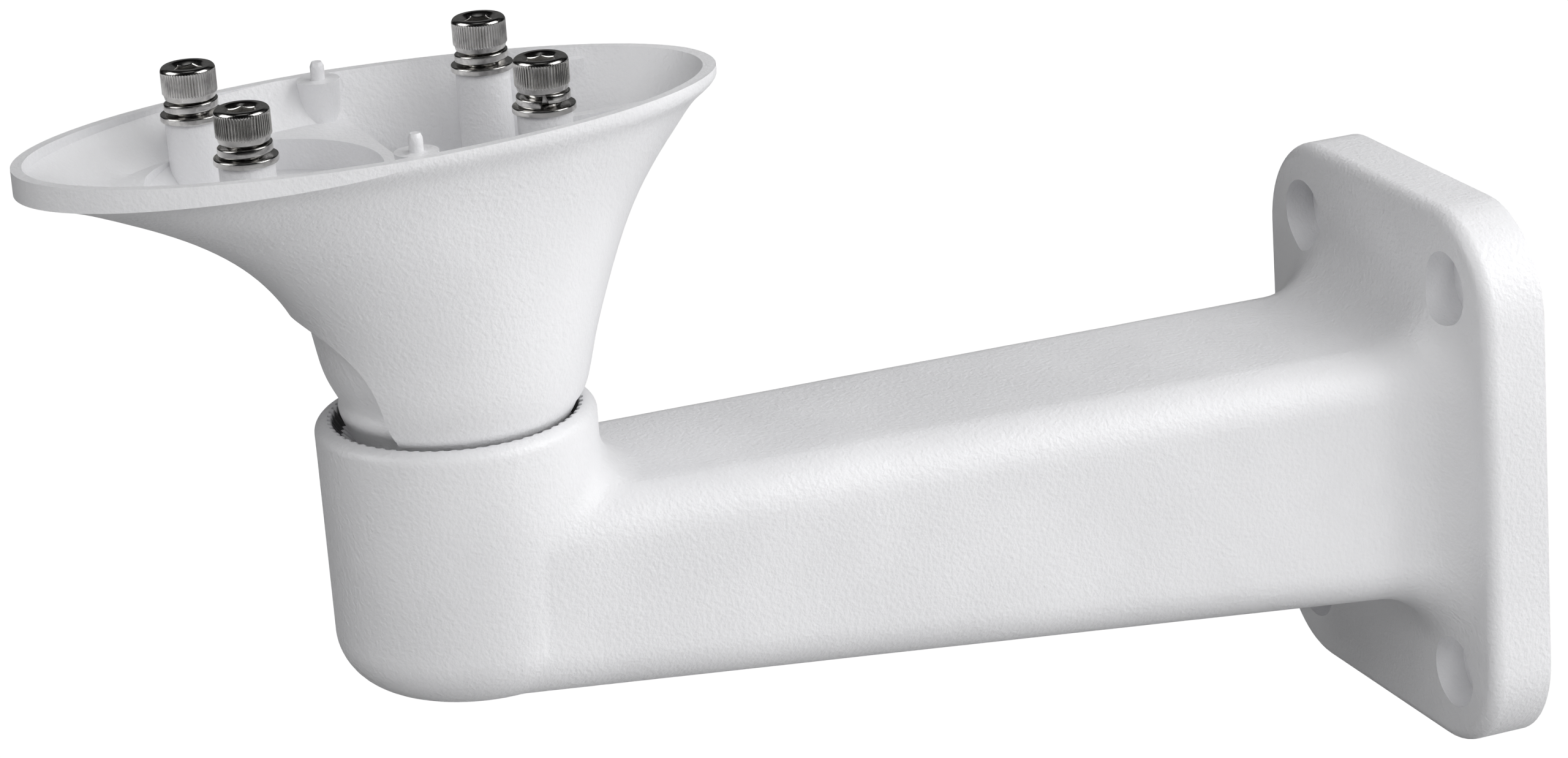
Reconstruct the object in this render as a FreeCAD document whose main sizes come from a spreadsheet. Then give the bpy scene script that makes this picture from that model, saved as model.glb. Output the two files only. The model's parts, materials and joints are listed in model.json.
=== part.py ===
"""Wall bracket for a camera housing: hollow cast arm with a ball-seated swivel head.

Frame: origin at the centre of the back face of the wall plate, +Z up, +Y into the wall.
The arm reaches along -Y to a cup, and the head sits in the toothed seat of that cup.
All lengths are in millimetres.
"""
import FreeCAD, Part
import math
import os
import Sketcher

V = FreeCAD.Vector

doc = FreeCAD.newDocument("CameraBracket")

# driving dimensions
DIMS = (
    # wall plate
    ("plate_width", 115.0),
    ("plate_height", 142.5),
    ("plate_thick", 16.5),
    ("plate_corner", 26.0),
    ("plate_edge", 3.5),
    ("wall_hole_x", 74.4),
    ("wall_hole_z", 102.8),
    ("wall_hole_r", 5.5),
    ("wall_bore_r", 9.4),
    ("wall_bore_deep", 8.0),
    # arm between plate and cup, sizes at the wall and on the cup's axis
    ("arm_reach", 264.0),
    ("arm_wall_half", 36.3),
    ("arm_wall_top", 34.7),
    ("arm_wall_bottom", 35.2),
    ("arm_cup_half", 32.4),
    ("arm_cup_top", 38.6),
    ("arm_cup_bottom", 8.9),
    ("arm_round", 12.0),
    ("arm_shell", 5.5),
    ("root_round", 17.0),
    ("cup_blend", 10.0),
    # cup and its toothed seat
    ("ring_z", 57.0),
    ("cup_r", 33.8),
    ("cup_base_r", 33.4),
    ("cup_base_round", 14.0),
    ("cup_bottom", 9.5),
    ("ring_edge", 1.8),
    ("seat_r", 31.0),
    ("seat_throat_r", 21.5),
    ("tooth_count", 64.0),
    ("tooth_deep", 1.15),
    ("cavity_r", 27.5),
    ("column_r", 8.5),
    ("column_top", 33.0),
    # ball of the head and the pressure cup inside it
    ("ball_rise", 16.0),
    ("ball_r", 33.0),
    ("bowl_r", 28.2),
    ("dish_gap", 0.3),
    ("dish_top", 10.0),
    ("dish_well_r", 15.0),
    ("dish_floor", 6.0),
    ("foot_hole_r", 11.0),
    ("notch_r", 21.5),
    ("notch_rise", 8.0),
    # rim of the head
    ("rim_rise", 75.4),
    ("rim_half_long", 85.3),
    ("rim_half_wide", 43.5),
    ("rim_shift", 14.2),
    ("rim_wall", 2.6),
    ("head_shell", 3.2),
    ("ledge_rise", 65.5),
    ("well_r", 28.0),
    ("well_shift", 41.0),
    ("well_rise", 58.0),
    ("deep_shift", 10.0),
    ("dimple_r", 40.0),
    ("dimple_deep", 2.5),
    ("dimple_shift", 66.0),
    # camera fixing
    ("screw_x", 43.2),
    ("screw_y", 72.0),
    ("screw_shift", 14.7),
    ("boss_r", 6.5),
    ("screw_r", 4.0),
    ("screw_hole_r", 4.15),
    ("screw_length", 20.0),
    ("screw_head_r", 6.5),
    ("screw_head_tall", 8.0),
    ("hex_flats", 6.0),
    ("hex_deep", 4.0),
    ("spring_outer_r", 6.4),
    ("spring_inner_r", 4.3),
    ("spring_thick", 2.0),
    ("spring_tilt", 5.0),
    ("spring_stack", 3.3),
    ("flat_outer_r", 7.5),
    ("flat_inner_r", 4.2),
    ("flat_thick", 1.6),
    ("pin_x", 36.6),
    ("pin_shift", 15.1),
    ("pin_r", 1.7),
    ("pin_tip_r", 1.2),
    ("pin_straight", 3.2),
    ("pin_point", 1.1),
    ("pin_boss_r", 5.2),
    # clamp in the middle of the ball
    ("bolt_length", 38.0),
    ("washer_outer_r", 8.0),
    ("washer_thick", 1.6),
    ("web_thick", 4.0),
)
sheet = doc.addObject("Spreadsheet::Sheet", "Dims")
D = {}
for row, (alias, value) in enumerate(DIMS, start=1):
    sheet.set("A%d" % row, alias)
    sheet.set("B%d" % row, repr(value))
    sheet.setAlias("B%d" % row, alias)
    D[alias] = value
doc.recompute()


def value_of(text):
    """Number that an expression on the sheet's cells gives."""
    return float(sheet.evalExpression(text))


def cell(text):
    """Expression with every cell name written in full."""
    words = []
    for word in text.replace("(", " ( ").replace(")", " ) ").split():
        words.append("Dims." + word if word in D else word)
    return " ".join(words)


def bind(obj, **exprs):
    """Bind properties of an object to expressions on the sheet."""
    for prop, text in exprs.items():
        obj.setExpression(prop.replace("__", "."), cell(text))
    return obj


def primitive(kind, name, where=("0", "0", "0"), turn=None, **exprs):
    """Primitive solid with sizes and position bound to the sheet."""
    obj = doc.addObject("Part::" + kind, name)
    if turn is not None:
        obj.Placement = FreeCAD.Placement(V(0, 0, 0), FreeCAD.Rotation(V(*turn[0]), turn[1]))
    for axis, text in zip("xyz", where):
        if text != "0":
            obj.setExpression("Placement.Base." + axis, cell(text))
    return bind(obj, **exprs)


def fuse(name, *objs):
    """Union of several objects."""
    out = doc.addObject("Part::MultiFuse", name)
    out.Shapes = list(objs)
    return out


def cut(name, base, tool):
    """First object less the second."""
    out = doc.addObject("Part::Cut", name)
    out.Base = base
    out.Tool = tool
    return out


def common(name, *objs):
    """Shared volume of several objects."""
    out = doc.addObject("Part::MultiCommon", name)
    out.Shapes = list(objs)
    return out


def plane_of(body, role):
    """Origin plane of a body by its role."""
    for feature in body.Origin.OriginFeatures:
        if feature.Role == role:
            return feature
    raise ValueError(role)


def sketch_on(body, name, role, lift="0"):
    """Sketch on an origin plane of a body, lifted along the plane's normal."""
    sk = body.newObject("Sketcher::SketchObject", name)
    sk.AttachmentSupport = [(plane_of(body, role), "")]
    sk.MapMode = "FlatFace"
    if lift != "0":
        sk.setExpression("AttachmentOffset.Base.z", cell(lift))
    return sk


def fix_point(sk, geo, pos, x_text, y_text):
    """Hold one sketch point at coordinates given by expressions."""
    for kind, axis, text in (("DistanceX", -2, x_text), ("DistanceY", -1, y_text)):
        full = cell(text)
        number = value_of(full)
        if abs(number) < 1e-9:
            sk.addConstraint(Sketcher.Constraint("PointOnObject", geo, pos, axis))
            continue
        if number > 0:
            index = sk.addConstraint(Sketcher.Constraint(kind, -1, 1, geo, pos, number))
            sk.setExpression("Constraints[%d]" % index, full)
        else:
            index = sk.addConstraint(Sketcher.Constraint(kind, geo, pos, -1, 1, -number))
            sk.setExpression("Constraints[%d]" % index, "-1 * ( " + full + " )")


def polygon(sk, points, arcs=()):
    """Closed outline through points given as expressions.

    Each arc names the point that it starts at, its centre and its radius, and turns the
    short way round to the next point. All other runs are straight.
    """
    xy = [V(value_of(cell(p)), value_of(cell(q)), 0) for p, q in points]
    count = len(points)
    bends = {start: (centre, radius) for start, centre, radius in arcs}
    ends = []
    for i in range(count):
        first, last = xy[i], xy[(i + 1) % count]
        if i not in bends:
            sk.addGeometry(Part.LineSegment(first, last), False)
            ends.append((1, 2))
            continue
        centre = V(value_of(cell(bends[i][0][0])), value_of(cell(bends[i][0][1])), 0)
        radius = value_of(cell(bends[i][1]))
        outward = ((first - centre).normalize() + (last - centre).normalize()).normalize()
        arc = Part.Arc(first, centre + outward * radius, last)
        sk.addGeometry(arc, False)
        made = sk.Geometry[i]
        ends.append((1, 2) if (made.StartPoint - first).Length < 1e-6 else (2, 1))
    for i in range(count):
        after = (i + 1) % count
        sk.addConstraint(Sketcher.Constraint("Coincident", i, ends[i][1], after, ends[after][0]))
    for i, (p, q) in enumerate(points):
        fix_point(sk, i, ends[i][0], p, q)
    for i in bends:
        index = sk.addConstraint(Sketcher.Constraint("Radius", i, value_of(cell(bends[i][1]))))
        sk.setExpression("Constraints[%d]" % index, cell(bends[i][1]))
    return sk


def circle(sk, x_text, y_text, r_text):
    """Circle whose centre and radius are bound to the sheet."""
    centre = V(value_of(cell(x_text)), value_of(cell(y_text)), 0)
    radius = value_of(cell(r_text))
    geo = sk.addGeometry(Part.Circle(centre, V(0, 0, 1), radius), False)
    fix_point(sk, geo, 3, x_text, y_text)
    index = sk.addConstraint(Sketcher.Constraint("Radius", geo, radius))
    sk.setExpression("Constraints[%d]" % index, cell(r_text))
    return geo


def body_named(name):
    """Empty body with a label."""
    body = doc.addObject("PartDesign::Body", name + "_body")
    body.Label = name
    return body


def pad(body, sk, name, length, reverse=False, both=False):
    """Pad of a sketch."""
    out = body.newObject("PartDesign::Pad", name)
    out.Profile = sk
    out.Reversed = reverse
    out.Midplane = both
    return bind(out, Length=length)


def spin(body, sk, name, kind="Revolution", axis="V_Axis"):
    """Full turn of a sketch about one of its own axes."""
    out = body.newObject("PartDesign::" + kind, name)
    out.Profile = sk
    out.ReferenceAxis = (sk, [axis])
    out.Angle = 360.0
    return out


def edges_where(feature, test):
    """Names of the edges of a feature whose middle point passes a test."""
    names = []
    for i, edge in enumerate(feature.Shape.Edges, start=1):
        first, last = edge.FirstParameter, edge.LastParameter
        if test(edge.valueAt((first + last) / 2.0), edge):
            names.append("Edge%d" % i)
    return names


def round_edges(body, base, name, test, radius):
    """Fillet on the edges that pass a test."""
    doc.recompute()
    out = body.newObject("PartDesign::Fillet", name)
    out.Base = (base, edges_where(base, test))
    return bind(out, Radius=radius)


# the wall arm: plate, tapered hollow arm and cup, cast in one
arm = doc.addObject("PartDesign::Body", "ArmBlank")
sk = sketch_on(arm, "PlateOutline", "XZ_Plane")
half_w = "plate_width / 2"
half_h = "plate_height / 2"
polygon(sk, (("0 - " + half_w, "0 - " + half_h), (half_w, "0 - " + half_h),
             (half_w, half_h), ("0 - " + half_w, half_h)))
plate = pad(arm, sk, "Plate", "plate_thick")
corners = round_edges(arm, plate, "PlateCorners",
                      lambda p, e: abs(p.y + D["plate_thick"] / 2.0) < 0.01, "plate_corner")
rim = round_edges(arm, corners, "PlateFrontEdge",
                  lambda p, e: abs(p.y + D["plate_thick"]) < 0.01, "plate_edge")

root = sketch_on(arm, "ArmAtWall", "XZ_Plane", "2")
polygon(root, (("0 - arm_wall_half", "0 - arm_wall_bottom"), ("arm_wall_half", "0 - arm_wall_bottom"),
               ("arm_wall_half", "arm_wall_top"), ("0 - arm_wall_half", "arm_wall_top")))
tip = sketch_on(arm, "ArmAtCup", "XZ_Plane", "arm_reach")
polygon(tip, (("0 - arm_cup_half", "0 - arm_cup_bottom"), ("arm_cup_half", "0 - arm_cup_bottom"),
              ("arm_cup_half", "arm_cup_top"), ("0 - arm_cup_half", "arm_cup_top")))
beam = arm.newObject("PartDesign::AdditiveLoft", "Beam")
beam.Profile = root
beam.Sections = [tip]
beam.Ruled = True
beam_round = round_edges(arm, beam, "BeamRound",
                         lambda p, e: -160 < p.y < -120 and e.Length > 150, "arm_round")
doc.recompute()
doc.recompute()


def soften(name, base, test, radius):
    """Fillet on a finished solid, on the edges that pass a test."""
    out = doc.addObject("Part::Fillet", name)
    out.Base = base
    picked = []
    for i, edge in enumerate(base.Shape.Edges, start=1):
        if test(edge.valueAt((edge.FirstParameter + edge.LastParameter) / 2.0), edge):
            picked.append((i, D[radius], D[radius]))
    out.Edges = picked
    return out


root_blend = soften("RootBlend", arm,
                    lambda p, e: abs(p.y + D["plate_thick"]) < 0.05
                    and abs(p.x) < 40 and abs(p.z) < 40, "root_round")

cup_body = doc.addObject("PartDesign::Body", "CupSolid")
cup_sk = sketch_on(cup_body, "CupProfile", "YZ_Plane")
polygon(cup_sk, (("0 - arm_reach", "0 - cup_bottom"),
                 ("cup_base_r - cup_base_round - arm_reach", "0 - cup_bottom"),
                 ("cup_base_r - arm_reach", "cup_base_round - cup_bottom"),
                 ("cup_r - arm_reach", "ring_z - ring_edge"),
                 ("cup_r - ring_edge * 0.3 - arm_reach", "ring_z - ring_edge * 0.3"),
                 ("cup_r - ring_edge - arm_reach", "ring_z"),
                 ("0 - arm_reach", "ring_z")),
        ((1, ("cup_base_r - cup_base_round - arm_reach", "cup_base_round - cup_bottom"),
          "cup_base_round"),))


def turned(body, sk, name):
    """Full turn of a sketch about the cup's upright axis."""
    line = sketch_on(body, name + "Axis", "YZ_Plane")
    line.addGeometry(Part.LineSegment(V(-D["arm_reach"], 0, 0), V(-D["arm_reach"], 10, 0)), False)
    fix_point(line, 0, 1, "0 - arm_reach", "0")
    fix_point(line, 0, 2, "0 - arm_reach", "10")
    out = body.newObject("PartDesign::Revolution", name)
    out.Profile = sk
    out.ReferenceAxis = (line, ["Edge1"])
    out.Angle = 360.0
    return out


turned(cup_body, cup_sk, "Cup")
joined = fuse("ArmAndCup", root_blend, cup_body)
doc.recompute()


def on_cup(p, e):
    """Whether an edge is where the arm's outside meets the cup's side."""
    around = math.hypot(p.x, p.y + D["arm_reach"])
    return abs(around - D["cup_base_r"]) < 0.6 and p.y > 1 - D["arm_reach"] and p.z < D["ring_z"] - 12


cup_blend = soften("CupBlend", joined, on_cup, "cup_blend")

# inside of the cup: conical seat, throat, chamber and the column for the clamp bolt
room_body = doc.addObject("PartDesign::Body", "CupRoom")
room_sk = sketch_on(room_body, "CupRoomProfile", "YZ_Plane")
polygon(room_sk, (("0 - arm_reach", "ring_z + 1"),
                  ("seat_r + 1 - arm_reach", "ring_z + 1"),
                  ("seat_throat_r - arm_reach", "ring_z - seat_r + seat_throat_r"),
                  ("seat_throat_r - arm_reach", "ring_z - 16"),
                  ("cavity_r - arm_reach", "ring_z - 23"),
                  ("cavity_r - arm_reach", "6"),
                  ("18 - arm_reach", "7 - cup_bottom"),
                  ("column_r + 1 - arm_reach", "7 - cup_bottom"),
                  ("column_r - arm_reach", "column_top"),
                  ("0 - arm_reach", "column_top")))
turned(room_body, room_sk, "CupHollow")

# cable channel from the back of the plate into the cup
channel_body = doc.addObject("PartDesign::Body", "ChannelTool")
wide_end = sketch_on(channel_body, "ChannelAtWall", "XZ_Plane", "0 - 0.5")
polygon(wide_end, (("arm_shell - arm_wall_half", "arm_shell - arm_wall_bottom"),
                   ("arm_wall_half - arm_shell", "arm_shell - arm_wall_bottom"),
                   ("arm_wall_half - arm_shell", "arm_wall_top - arm_shell"),
                   ("arm_shell - arm_wall_half", "arm_wall_top - arm_shell")))
thin_end = sketch_on(channel_body, "ChannelAtCup", "XZ_Plane", "arm_reach - 20")
polygon(thin_end, (("arm_shell + 4 - arm_cup_half", "arm_shell - arm_cup_bottom + 3"),
                   ("arm_cup_half - arm_shell - 4", "arm_shell - arm_cup_bottom + 3"),
                   ("arm_cup_half - arm_shell - 4", "arm_cup_top - arm_shell - 8"),
                   ("arm_shell + 4 - arm_cup_half", "arm_cup_top - arm_shell - 8")))
channel = channel_body.newObject("PartDesign::AdditiveLoft", "Channel")
channel.Profile = wide_end
channel.Sections = [thin_end]
channel.Ruled = True
channel_round = round_edges(channel_body, channel, "ChannelRound",
                            lambda p, e: -140 < p.y < -90 and e.Length > 150, "arm_round - 5")

# wall holes, each with a wide counterbore for the bolt's head
drills = []
for side in (-1, 1):
    for level in (-1, 1):
        tag = "%d%d" % (side + 1, level + 1)
        x_text = "%d * wall_hole_x / 2" % side
        z_text = "%d * wall_hole_z / 2" % level
        drills.append(primitive("Cylinder", "WallHole" + tag, (x_text, "5", z_text),
                                ((1, 0, 0), 90.0), Radius="wall_hole_r", Height="40"))
        drills.append(primitive("Cylinder", "WallBore" + tag,
                                (x_text, "wall_bore_deep - plate_thick", z_text),
                                ((1, 0, 0), 90.0), Radius="wall_bore_r", Height="40"))

# teeth of the seat: rounded grooves that run down the cone, narrowing with it
GROOVE = ((-0.34, 0.0), (-0.23, 0.6), (-0.09, 1.0), (0.09, 1.0), (0.23, 0.6), (0.34, 0.0))


def tooth_ring(crest_r, depth, height):
    """Closed outline of crests and grooves at one height."""
    count = int(D["tooth_count"])
    corners = []
    for i in range(count):
        for phase, share in GROOVE:
            turn = 2.0 * math.pi * (i + phase) / count
            r = crest_r + depth * share
            corners.append(V(r * math.cos(turn), r * math.sin(turn) - D["arm_reach"], height))
    return Part.makePolygon(corners + corners[:1])


low_r = D["seat_throat_r"] - 0.2
teeth = doc.addObject("Part::Feature", "SeatTeeth")
teeth.Shape = Part.makeLoft([tooth_ring(low_r, D["tooth_deep"] * 0.65, D["ring_z"] - D["seat_r"] + low_r),
                             tooth_ring(D["seat_r"] + 1.2, D["tooth_deep"] * 1.03, D["ring_z"] + 1.2)],
                            True, True)
bolt_hole = primitive("Cylinder", "ColumnHole", ("0", "0 - arm_reach", "column_top - 26"),
                      Radius="screw_hole_r", Height="30")
hollowed = cut("ArmHollowed", cup_blend, fuse("ArmRoom", room_body, channel_body))
toothed = cut("Toothed", hollowed, teeth)
casting = cut("WallArmCasting", toothed, fuse("Drills", bolt_hole, *drills))

# the head: sections of its outside as rise above the ring, reach to the wall side,
# reach to the outer side and half width
OUTSIDE = ((2.0, 30.0, 30.0, 30.0), (8.0, 33.0, 32.4, 32.3), (16.0, 35.1, 33.4, 33.2),
           (25.0, 38.3, 35.6, 33.3), (35.0, 42.4, 40.9, 33.4), (45.0, 47.4, 49.9, 33.7),
           (55.0, 54.2, 64.6, 34.7), (63.0, 60.9, 81.5, 36.7), (69.0, 66.4, 98.5, 39.6),
           (75.4, 71.4, 126.0, 44.0))
INSIDE = ((36.0, 39.2, 37.2, 28.8), (45.0, 43.7, 44.9, 29.0), (55.0, 50.2, 58.0, 29.8),
          (63.0, 56.6, 72.9, 32.1), (69.0, 62.1, 87.0, 35.6), (78.0, 69.2, 122.0, 41.6))


def flare(name, sections, first_row):
    """Loft through ellipses whose sizes are in the sheet, one section to a row."""
    rings = []
    for i, row in enumerate(sections):
        for column, part, number in zip("DEFG", ("rise", "wall", "outer", "wide"), row):
            address = "%s%d" % (column, first_row + i)
            sheet.set(address, repr(number))
            alias = "%s_%s_%s" % (name.lower(), part, "abcdefghijkl"[i])
            sheet.setAlias(address, alias)
            D[alias] = number
    doc.recompute()
    for i in range(len(sections)):
        tag = "abcdefghijkl"[i]
        word = name.lower()
        ring = doc.addObject("Part::Ellipse", "%s_ring_%s" % (name, tag))
        ring.Placement = FreeCAD.Placement(V(0, 0, 0), FreeCAD.Rotation(V(0, 0, 1), 90.0))
        bind(ring, MajorRadius="( %s_wall_%s + %s_outer_%s ) / 2" % (word, tag, word, tag),
             MinorRadius="%s_wide_%s" % (word, tag),
             Placement__Base__y="( %s_wall_%s - %s_outer_%s ) / 2 - arm_reach" % (word, tag, word, tag),
             Placement__Base__z="ring_z + %s_rise_%s" % (word, tag))
        rings.append(ring)
    loft = doc.addObject("Part::Loft", name)
    loft.Sections = rings
    loft.Solid = True
    loft.Ruled = False
    return loft


def rim_prism(name, inset, low, tall):
    """Upright prism on the rim's ellipse, drawn in by an inset."""
    ring = doc.addObject("Part::Ellipse", name + "_ring")
    ring.Placement = FreeCAD.Placement(V(0, 0, 0), FreeCAD.Rotation(V(0, 0, 1), 90.0))
    bind(ring, MajorRadius="rim_half_long - " + inset, MinorRadius="rim_half_wide - " + inset,
         Placement__Base__y="0 - rim_shift - arm_reach", Placement__Base__z="ring_z + " + low)
    out = doc.addObject("Part::Extrusion", name)
    out.Base = ring
    out.Dir = V(0, 0, 1)
    out.Solid = True
    return bind(out, LengthFwd=tall)


outer = flare("Outside", OUTSIDE, 2)
inner = flare("Inside", INSIDE, 14)
ball = primitive("Sphere", "Ball", ("0", "0 - arm_reach", "ring_z + ball_rise"), Radius="ball_r")
prism = rim_prism("RimPrism", "0", "0 - 25", "rim_rise + 25")
envelope = common("Envelope", fuse("BallAndFlare", ball, outer), prism)
inner_prism = rim_prism("InnerPrism", "rim_wall", "10", "90")
inner_flare = common("InnerFlare", inner, inner_prism)

above = primitive("Box", "AboveLedge", ("0 - 60", "0 - arm_reach - 120", "ring_z + ledge_rise"),
                  Length="120", Width="220", Height="30")
wall_half = primitive("Box", "WallHalf", ("0 - 60", "0 - arm_reach - deep_shift", "ring_z + 20"),
                      Length="120", Width="120", Height="80")
well = primitive("Cylinder", "Well", ("0", "0 - arm_reach - well_shift", "ring_z + well_rise"),
                 Radius="well_r", Height="80")
dimple = primitive("Sphere", "Dimple", ("0", "0 - arm_reach - dimple_shift",
                                        "ring_z + ledge_rise - dimple_deep + dimple_r"), Radius="dimple_r")
open_zone = fuse("OpenZone", above, wall_half, well)
cavity = common("Cavity", inner_flare, open_zone)
bowl = primitive("Sphere", "Bowl", ("0", "0 - arm_reach", "ring_z + ball_rise"), Radius="bowl_r")
foot = primitive("Cylinder", "FootHole", ("0", "0 - arm_reach", "ring_z - 25"),
                 Radius="foot_hole_r", Height="35")
slot = primitive("Box", "FootSlot", ("0 - foot_hole_r", "0 - arm_reach - 40", "ring_z - 25"),
                 Length="2 * foot_hole_r", Width="40", Height="35")
notch = primitive("Cylinder", "Notch", ("0", "0 - arm_reach - 20", "ring_z + notch_rise"),
                  ((1, 0, 0), 90.0), Radius="notch_r", Height="60")

# bosses, webs and ribs that the cavity leaves standing
posts = []
top = "rim_rise"
for side in (-1, 1):
    for end in (-1, 1):
        tag = "%d%d" % (side + 1, end + 1)
        x_text = "%d * screw_x / 2" % side
        y_text = "0 - arm_reach - screw_shift + %d * screw_y / 2" % end
        posts.append(primitive("Cylinder", "Boss" + tag, (x_text, y_text, "ring_z + 34"),
                               Radius="boss_r", Height=top + " - 34"))
        if end < 0:
            posts.append(primitive("Box", "SideWeb" + tag,
                                   (x_text + (" - 20" if side < 0 else " - 0"),
                                    y_text + " - web_thick / 2", "ring_z + 34"),
                                   Length="20", Width="web_thick", Height="rim_rise - 37"))
        else:
            posts.append(primitive("Box", "EndRib" + tag,
                                   (x_text + " - web_thick / 2 + %d" % (2 * side), y_text, "ring_z + 34"),
                                   Length="web_thick - 1", Width="26", Height="rim_rise - 36"))
    x_text = "%d * pin_x" % side
    y_text = "0 - arm_reach - pin_shift"
    posts.append(primitive("Cone", "PinBoss%d" % (side + 1), (x_text, y_text, "ring_z + 50"),
                           Radius1="pin_boss_r - 2.6", Radius2="pin_boss_r", Height="rim_rise - 50"))
room = cut("RoomLessPosts", cavity, fuse("Posts", *posts))
scoop = cut("Scoop", common("ScoopRoom", dimple, inner_prism), fuse("ScoopPosts", *posts))
hollow = cut("HeadHollow", envelope, room)
scooped = cut("HeadScooped", hollow, scoop)
shell = cut("HeadShell", scooped, fuse("BallRoom", bowl, foot, slot, notch))
pins = []
for side in (-1, 1):
    x_text = "%d * pin_x" % side
    y_text = "0 - arm_reach - pin_shift"
    pins.append(primitive("Cylinder", "Pin%d" % (side + 1), (x_text, y_text, "ring_z + rim_rise - 1"),
                          Radius="pin_r", Height="pin_straight + 1"))
    pins.append(primitive("Cone", "PinPoint%d" % (side + 1),
                          (x_text, y_text, "ring_z + rim_rise + pin_straight"),
                          Radius1="pin_r", Radius2="pin_tip_r", Height="pin_point"))
tapped = []
for side in (-1, 1):
    for end in (-1, 1):
        tapped.append(primitive(
            "Cylinder", "BossHole%d%d" % (side + 1, end + 1),
            ("%d * screw_x / 2" % side, "0 - arm_reach - screw_shift + %d * screw_y / 2" % end,
             "ring_z + rim_rise - screw_length + 2"), Radius="screw_hole_r", Height="screw_length + 5"))
head = cut("HeadCasting", fuse("HeadSolid", shell, *pins), fuse("BossHoles", *tapped))

# pressure cup: a round-bottomed dish inside the ball, pulled down by the clamp bolt
AXIS_Y = "0 - arm_reach"
dish_ball = primitive("Sphere", "DishBall", ("0", AXIS_Y, "ring_z + ball_rise"),
                      Radius="bowl_r - dish_gap")
dish_zone = primitive("Cylinder", "DishZone", ("0", AXIS_Y, "ring_z - 20"),
                      Radius="30", Height="20 + dish_top")
dish_well = primitive("Cylinder", "DishWell",
                      ("0", AXIS_Y, "ring_z + ball_rise - bowl_r + dish_gap + dish_floor"),
                      Radius="dish_well_r", Height="60")
dish_hole = primitive("Cylinder", "DishHole", ("0", AXIS_Y, "ring_z - 25"),
                      Radius="screw_hole_r + 0.3", Height="60")
dish_raw = cut("DishRaw", common("DishBlank", dish_ball, dish_zone), fuse("DishRoom", dish_well, dish_hole))
doc.recompute()
dish = doc.addObject("Part::Fillet", "DishCasting")
dish.Base = dish_raw
edge_list = []
for i, edge in enumerate(dish_raw.Shape.Edges, start=1):
    spot = edge.valueAt((edge.FirstParameter + edge.LastParameter) / 2.0)
    around = math.hypot(spot.x, spot.y + D["arm_reach"])
    if abs(spot.z - D["ring_z"] - D["dish_top"]) < 0.01 and around > 20 and edge.Length > 60:
        edge_list.append((i, 4.0, 4.0))
dish.Edges = edge_list


def socket_screw(label, length, where):
    """Cap screw with a hexagon socket, standing on the underside of its head at z = 0."""
    body = body_named(label)
    sk = sketch_on(body, label + "_profile", "XZ_Plane")
    polygon(sk, (("0", "0 - " + length), ("screw_r - 0.6", "0 - " + length),
                 ("screw_r", "0.6 - " + length), ("screw_r", "0"), ("screw_head_r", "0"),
                 ("screw_head_r", "screw_head_tall - 0.9"),
                 ("screw_head_r - 0.9", "screw_head_tall"), ("0", "screw_head_tall")))
    turned = spin(body, sk, label + "_blank")
    hex_sk = sketch_on(body, label + "_hexagon", "XY_Plane", "screw_head_tall")
    points = []
    for i in range(6):
        cos_i = round(math.cos(math.pi * i / 3), 8)
        sin_i = round(math.sin(math.pi * i / 3), 8)
        points.append(("hex_flats / 1.7320508 * %r" % cos_i if abs(cos_i) > 1e-6 else "0",
                       "hex_flats / 1.7320508 * %r" % sin_i if abs(sin_i) > 1e-6 else "0"))
    polygon(hex_sk, points)
    socket = body.newObject("PartDesign::Pocket", label + "_socket")
    socket.Profile = hex_sk
    bind(socket, Length="hex_deep")
    for axis, text in zip("xyz", where):
        if text != "0":
            body.setExpression("Placement.Base." + axis, cell(text))
    return body


def plain_washer(label, outer_r, inner_r, thick, where):
    """Flat ring standing on z = 0."""
    body = body_named(label)
    sk = sketch_on(body, label + "_ring", "XY_Plane")
    circle(sk, "0", "0", outer_r)
    circle(sk, "0", "0", inner_r)
    pad(body, sk, label + "_disc", thick)
    for axis, text in zip("xyz", where):
        if text != "0":
            body.setExpression("Placement.Base." + axis, cell(text))
    return body


nodes = {"wall_arm": casting, "head": head, "clamp_cup": dish}
floor_z = "ring_z + ball_rise - bowl_r + dish_gap + dish_floor"
nodes["clamp_washer"] = plain_washer("clamp_washer", "washer_outer_r", "flat_inner_r", "washer_thick",
                                     ("0", AXIS_Y, floor_z))
nodes["clamp_bolt"] = socket_screw("clamp_bolt", "bolt_length", ("0", AXIS_Y, floor_z + " + washer_thick"))

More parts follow.
